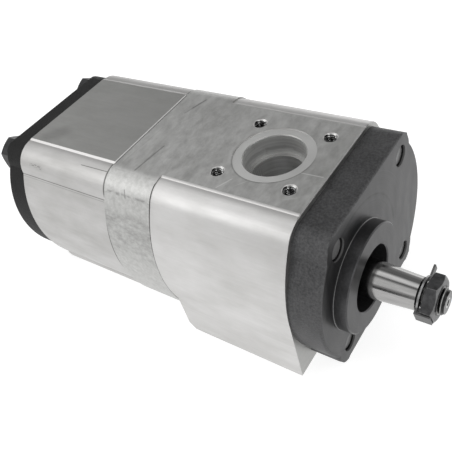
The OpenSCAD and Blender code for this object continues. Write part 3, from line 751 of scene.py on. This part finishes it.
rear_cover, rear_cover_shape = workpiece_of("rear_cover", "rear_cover_casting")
break_edges(rear_cover_shape, hard_edges(rear_cover_shape, rear_rim), 1 * mm, 0, 4)
finish_piece(rear_cover, rear_cover_shape, [rear_paint])
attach(rear_cover, "housing")
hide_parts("rear_cover")

# Housing bolts: long black steel bolts that go through from the rear cover and
# screw into the front cover, where their ends show just under the face.


def black_steel(name, dark=(0.03, 0.03, 0.032), light=(0.07, 0.07, 0.072), roughness=0.36):
    """Black oxide on steel, thinner in places"""
    material = new_finish(name, roughness, 0.7)
    clouds = grain(material, (1, 1, 1), 2.5, 5, 0.6)
    return paint(material, shade_between(material, spread(material, clouds, 0.35, 0.7, 0, 1), dark, light),
                 spread(material, clouds, 0.3, 0.7, roughness - 0.06, roughness + 0.1), clouds, 0.01)


def dress(node, finish):
    """Gives a CAD node, whose shape is right as it is, its finish"""
    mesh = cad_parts[node].data
    mesh.materials.clear()
    mesh.materials.append(finish)


def bolt_steel():
    """Black bolts whose front ends are bare, as the tip was cut off"""
    material = black_steel("bolt_steel", (0.012, 0.012, 0.013), (0.035, 0.035, 0.036), 0.4)
    clouds = grain(material, (1, 1, 1), 0.9, 4)
    bare = shade_between(material, clouds, (0.12, 0.12, 0.12), (0.24, 0.24, 0.24))
    return paint_over(material, spread(material, place_along(material, "X"), -1.5, -1.35, 0, 1), bare)


dress("housing_bolts", bolt_steel())

# Dowel pins, gears, bearings and seals: the inside of the pump, seen through
# its ports. Ground steel, bronze, machined aluminium and black rubber.


def ground_steel(name, dark, light, roughness, stretch):
    """Steel with the fine lines of the grinding wheel"""
    material = new_finish(name, roughness)
    lines = grain(material, stretch, 0.35, 3)
    return paint(material, shade_between(material, spread(material, lines, 0.3, 0.7, 0, 1), dark, light),
                 spread(material, lines, 0.3, 0.7, roughness - 0.04, roughness + 0.06), lines, 0.003)


gear_steel = ground_steel("gear_steel", (0.42, 0.42, 0.43), (0.56, 0.56, 0.57), 0.26, (1, 0.05, 0.05))
dress("dowel_pins", ground_steel("dowel_steel", (0.45, 0.45, 0.46), (0.58, 0.58, 0.59), 0.3, (1, 0.1, 0.1)))
for gear in ("front_driven_gear", "rear_drive_gear", "rear_driven_gear", "shaft_coupling"):
    dress(gear, gear_steel)
bronze = new_finish("bush_bronze", 0.34)
bronze_lines = grain(bronze, (1, 0.1, 0.1), 0.4, 3)
paint(bronze, shade_between(bronze, bronze_lines, (0.42, 0.26, 0.11), (0.58, 0.38, 0.17)),
      None, bronze_lines, 0.004)
dress("front_section_bushes", bronze)
dress("rear_section_bushes", bronze)
block_aluminium = new_finish("bearing_aluminium", 0.4)
block_lines = grain(block_aluminium, (1, 0.2, 0.2), 0.5, 3)
paint(block_aluminium, shade_between(block_aluminium, block_lines, (0.48, 0.48, 0.46), (0.60, 0.60, 0.58)),
      None, block_lines, 0.006)
for block in ("front_section_front_bearing", "front_section_rear_bearing",
              "rear_section_front_bearing", "rear_section_rear_bearing"):
    dress(block, block_aluminium)
rubber = new_finish("seal_rubber", 0.6, 0)
rubber_skin = grain(rubber, (1, 1, 1), 0.4, 3)
paint(rubber, shade_between(rubber, rubber_skin, (0.012, 0.012, 0.012), (0.03, 0.03, 0.03)),
      None, rubber_skin, 0.01)
for seal in ("shaft_seal", "front_cover_joint_seal", "flange_front_joint_seal", "flange_rear_joint_seal",
             "rear_cover_joint_seal", "gallery_o_rings", "bearing_face_seals"):
    dress(seal, rubber)
dress("seal_retaining_ring", black_steel("ring_steel"))

# Drive shaft: hardened steel in one piece with the front drive gear. Its taper
# is ground and polished, and its M12 end carries the nut and the tab washer.
taper_start = 4.5 * mm
taper_end = 26.5 * mm
shaft_tip = 37.6 * mm
thread_crest = 5.9 * mm
thread_root = 5.1 * mm
thread_pitch = 1.25 * mm
# The turns start in the gap between washer and nut, and run on to the tip
first_turn = 27.9 * mm
thread_turns = 7.2


def polished_steel():
    """The taper: fine rings of the grinding wheel, nearly a mirror"""
    material = new_finish("polished_taper", 0.1)
    rings = grain(material, (1, 0.02, 0.02), 0.5, 4)
    stains = grain(material, (0.12, 1, 1), 1.6, 5)
    colour = shade_between(material, spread(material, stains, 0.35, 0.7, 0, 1),
                           (0.37, 0.366, 0.362), (0.29, 0.288, 0.286))
    return paint(material, colour, spread(material, rings, 0.3, 0.7, 0.08, 0.16), rings, 0.001)


def thread_finish():
    """Painted shade in the thread's roots, painted highlights on its crests and round the centre hole in the
    tip, and mottle on the tip
    """
    material = new_finish("thread_steel", 0.3)
    radius = off_shaft(material)
    tip = shaft_tip / mm
    crest = thread_crest / mm
    on_tip = spread(material, place_along(material, "X"), tip - 0.15, tip - 0.1, 0, 1)
    # Painted highlights: bright on the thread's crests and in a ring round the tip's centre hole, over
    # painted shade elsewhere
    crest_highlight = spread(material, radius, crest - 0.22, crest - 0.08, 0, 0.8)
    hole_rim_highlight = combine(material, "MULTIPLY", spread(material, radius, 1.4, 1.7, 0, 1),
                       spread(material, radius, 2, 2.4, 1, 0))
    mottle = spread(material, grain(material, (1, 1, 1), 1.4, 3), 0.5, 0.62, 0.05, 0.4)
    tip_marks = combine(material, "MULTIPLY", on_tip, combine(material, "MAXIMUM", hole_rim_highlight, mottle))
    bright = combine(material, "MAXIMUM", crest_highlight, tip_marks)
    colour = shade_between(material, bright, (0.035, 0.035, 0.035), (0.5, 0.5, 0.49))
    return paint(material, colour, None, grain(material, (1, 1, 1), 0.6, 3), 0.01)


taper_steel = polished_steel()
thread_steel = thread_finish()


def shaft_finish(face):
    """The polished taper, the ground steel behind it and the threaded end with its painted shade and
    highlights
    """
    middle = face.calc_center_median()
    if middle.x > taper_end + 0.02 * mm:
        return thread_steel
    return gear_steel if middle.x < -20 * mm else taper_steel


shaft, shaft_shape = workpiece_of("front_drive_gear", "drive_shaft")
for vertex in shaft_shape.verts:
    out = hypot(vertex.co.y, vertex.co.z)
    if vertex.co.x > taper_end + 0.1 * mm and out > thread_root:
        vertex.co.y *= thread_root / out
        vertex.co.z *= thread_root / out
finish_piece(shaft, shaft_shape, [taper_steel, gear_steel, thread_steel], shaft_finish, has_flats=False)
for edge in shaft.data.edges:
    ends = [shaft.data.vertices[v].co.x for v in edge.vertices]
    edge.use_edge_sharp = edge.use_edge_sharp or max(abs(x - taper_start) for x in ends) < hair
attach(shaft, "drive_shaft")
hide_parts("front_drive_gear")

thread_mesh = bpy.data.meshes.new("shaft_thread")
shaft_thread = bpy.data.objects.new("shaft_thread", thread_mesh)
scene.collection.objects.link(shaft_thread)
shaft_thread_shape = bmesh.new()
along_shaft = Matrix(((0, 0, 1), (0, 1, 0), (-1, 0, 0)))
thread_ridge(shaft_thread_shape, thread_crest, thread_root - 0.02 * mm, thread_pitch, thread_turns,
             Vector((first_turn, 0, 0)), along_shaft, 40, 0.5)
finish_piece(shaft_thread, shaft_thread_shape, [thread_steel])
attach(shaft_thread, "drive_shaft")

# Shaft key: a half-moon cut from plain steel bar. It is pressed into its seat
# under the taper and drives the hub.
dress("shaft_key", ground_steel("key_steel", (0.34, 0.34, 0.35), (0.5, 0.5, 0.51), 0.34, (0.1, 1, 1)))

# Tab washer: pressed from sheet steel. One tab stands up, the other is bent
# over a flat of the nut and keeps it from turning.
washer, washer_shape = workpiece_of("tab_washer", "lock_washer")
outer_corners = [edge for edge in hard_edges(washer_shape, lambda place: True, 60) if edge.is_convex]
break_edges(washer_shape, outer_corners, 0.12 * mm)
ring_radius = 8.4 * mm
bare_edge = ground_steel("washer_edge", (0.24, 0.24, 0.24), (0.36, 0.36, 0.36), 0.34, (0.3, 1, 1))
dull_sheet = ground_steel("washer_sheet", (0.07, 0.07, 0.07), (0.14, 0.14, 0.14), 0.4, (0.3, 1, 1))


def washer_finish(face):
    """Bare steel on the ring's outer edge, and dull sheet elsewhere"""
    middle = face.calc_center_median()
    at_rim = abs(hypot(middle.y, middle.z) - ring_radius) < 0.3 * mm and middle.x < 28.5 * mm
    return bare_edge if at_rim else dull_sheet


finish_piece(washer, washer_shape, [dull_sheet, bare_edge], washer_finish)
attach(washer, "drive_shaft")
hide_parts("tab_washer")

# Shaft nut: a thin M12 hexagon nut, black, with its turned corners worn to a
# lighter grey.
nut_black = black_steel("nut_black", (0.035, 0.035, 0.036), (0.085, 0.085, 0.087), 0.36)
worn_black = black_steel("worn_nut_edges", (0.09, 0.09, 0.09), (0.2, 0.2, 0.2), 0.36)


def nut_outside(place):
    """True away from the nut's thread"""
    return hypot(place.y, place.z) > 7 * mm


def nut_finish(face):
    """Worn turned corners and black flats"""
    return worn_black if 0.1 < abs(face.normal.x) < 0.95 else nut_black


nut, nut_shape = workpiece_of("shaft_nut", "shaft_nut_black")
nut_finishes = [nut_black, worn_black]
nut_corners = [edge for edge in hard_edges(nut_shape, nut_outside, 12) if edge.is_convex]
break_edges(nut_shape, nut_corners, 0.1 * mm, nut_finishes.index(worn_black))
finish_piece(nut, nut_shape, nut_finishes, nut_finish)
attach(nut, "drive_shaft")
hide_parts("shaft_nut")

# Floor and studio: a plain white floor and a room that is bright low down and
# grey overhead, with a ceiling panel, a window on the near side, a pale far wall
# and a dark doorway that the shaft mirrors. Two weak soft boxes light the pump.
reach = 6000 * mm
floor_mesh = bpy.data.meshes.new("floor")
floor_mesh.from_pydata([(-reach, -reach, 0), (reach, -reach, 0), (reach, reach, 0), (-reach, reach, 0)],
                       [], [(0, 1, 2, 3)])
floor = bpy.data.objects.new("floor", floor_mesh)
floor.location.z = -port_face_height - hair
scene.collection.objects.link(floor)
floor_white = new_finish("floor_white", 0.9, 0)
floor_shader = floor_white.node_tree.nodes["Principled BSDF"]
floor_shader.inputs["Base Color"].default_value = (0.4, 0.4, 0.4, 1)
floor_shader.inputs["Emission Color"].default_value = (1, 1, 1, 1)
floor_shader.inputs["Emission Strength"].default_value = 0.8
floor_mesh.materials.append(floor_white)

studio = bpy.data.worlds.new("studio")
studio.use_nodes = True
scene.world = studio
studio_nodes = studio.node_tree.nodes
studio_links = studio.node_tree.links
look = studio_nodes.new("ShaderNodeTexCoord")
apart = studio_nodes.new("ShaderNodeSeparateXYZ")
studio_links.new(look.outputs["Generated"], apart.inputs["Vector"])
sky = studio_nodes.new("ShaderNodeValToRGB")
studio_links.new(apart.outputs["Z"], sky.inputs["Fac"])
# How bright the room is at each height, from the horizon up
for position, level in ((0.02, 1), (0.14, 1), (0.3, 0.5), (0.45, 0.38), (0.56, 0.33),
                        (0.66, 0.26), (0.9, 0.26)):
    stop = sky.color_ramp.elements.new(position)
    stop.color = (level, level, level, 1)
sky.color_ramp.elements.remove(sky.color_ramp.elements[-1])
sky.color_ramp.elements.remove(sky.color_ramp.elements[0])


def studio_sum(how, first, second):
    """Two values of the studio's light worked together"""
    node = studio_nodes.new("ShaderNodeMath")
    node.operation = how
    for socket, value in zip(node.inputs, (first, second)):
        if isinstance(value, bpy.types.NodeSocket):
            studio_links.new(value, socket)
        else:
            socket.default_value = value
    return node.outputs["Value"]


def studio_step(value, start, end, low, high):
    """A share that goes from low to high as the value goes from start to end"""
    ramp = studio_nodes.new("ShaderNodeMapRange")
    studio_links.new(value, ramp.inputs["Value"])
    for name, number in (("From Min", start), ("From Max", end), ("To Min", low), ("To Max", high)):
        ramp.inputs[name].default_value = number
    return ramp.outputs["Result"]


def studio_patch(value, start, full, end, gone):
    """A share that is one between full and end, and fades to start and gone"""
    return studio_sum("MULTIPLY", studio_step(value, start, full, 0, 1),
                      studio_step(value, end, gone, 1, 0))


ceiling = studio_sum("MULTIPLY", studio_patch(apart.outputs["Y"], -0.22, -0.06, 0.2, 0.42),
                     studio_step(apart.outputs["Z"], 0.45, 0.65, 0, 1.2))
window = studio_sum("MULTIPLY", studio_patch(apart.outputs["Z"], 0.34, 0.44, 0.86, 0.95),
                    studio_patch(apart.outputs["Y"], -0.95, -0.86, -0.42, -0.12))
window = studio_sum("MULTIPLY", window, studio_step(apart.outputs["X"], 0.3, -0.2, 0.25, 0.85))
doorway = studio_sum("MULTIPLY", studio_patch(apart.outputs["Z"], -0.03, 0.02, 0.22, 0.32),
                     studio_step(apart.outputs["Y"], -0.75, -0.88, 0, 0.9))
doorway = studio_sum("MULTIPLY", doorway, studio_patch(apart.outputs["X"], -0.46, -0.34, -0.16, -0.04))
far_wall = studio_sum("MULTIPLY", studio_patch(apart.outputs["Z"], -0.1, 0, 0.12, 0.2),
                      studio_step(apart.outputs["Y"], 0.2, 0.4, 0, 0.8))
light = studio_sum("ADD", sky.outputs["Color"], studio_sum("ADD", ceiling, window))
light = studio_sum("ADD", light, far_wall)
light = studio_sum("MULTIPLY", light, studio_sum("SUBTRACT", 1, doorway))
studio_links.new(light, studio_nodes["Background"].inputs["Color"])


def soft_lamp(name, direction, distance, size, power):
    """A square soft box that looks at the pump"""
    data = bpy.data.lights.new(name, "AREA")
    data.size = size
    data.energy = power
    lamp = bpy.data.objects.new(name, data)
    aim = Vector((-90 * mm, 15 * mm, 0))
    outward = Vector(direction).normalized()
    lamp.location = aim + outward * distance
    lamp.rotation_mode = "QUATERNION"
    lamp.rotation_quaternion = outward.to_track_quat("Z", "Y")
    scene.collection.objects.link(lamp)


soft_lamp("left_box", (-0.66, -0.5, 0.56), 1.2, 0.9, 2.5)
soft_lamp("right_box", (0.8, -0.4, 0.5), 1.4, 0.8, 3)
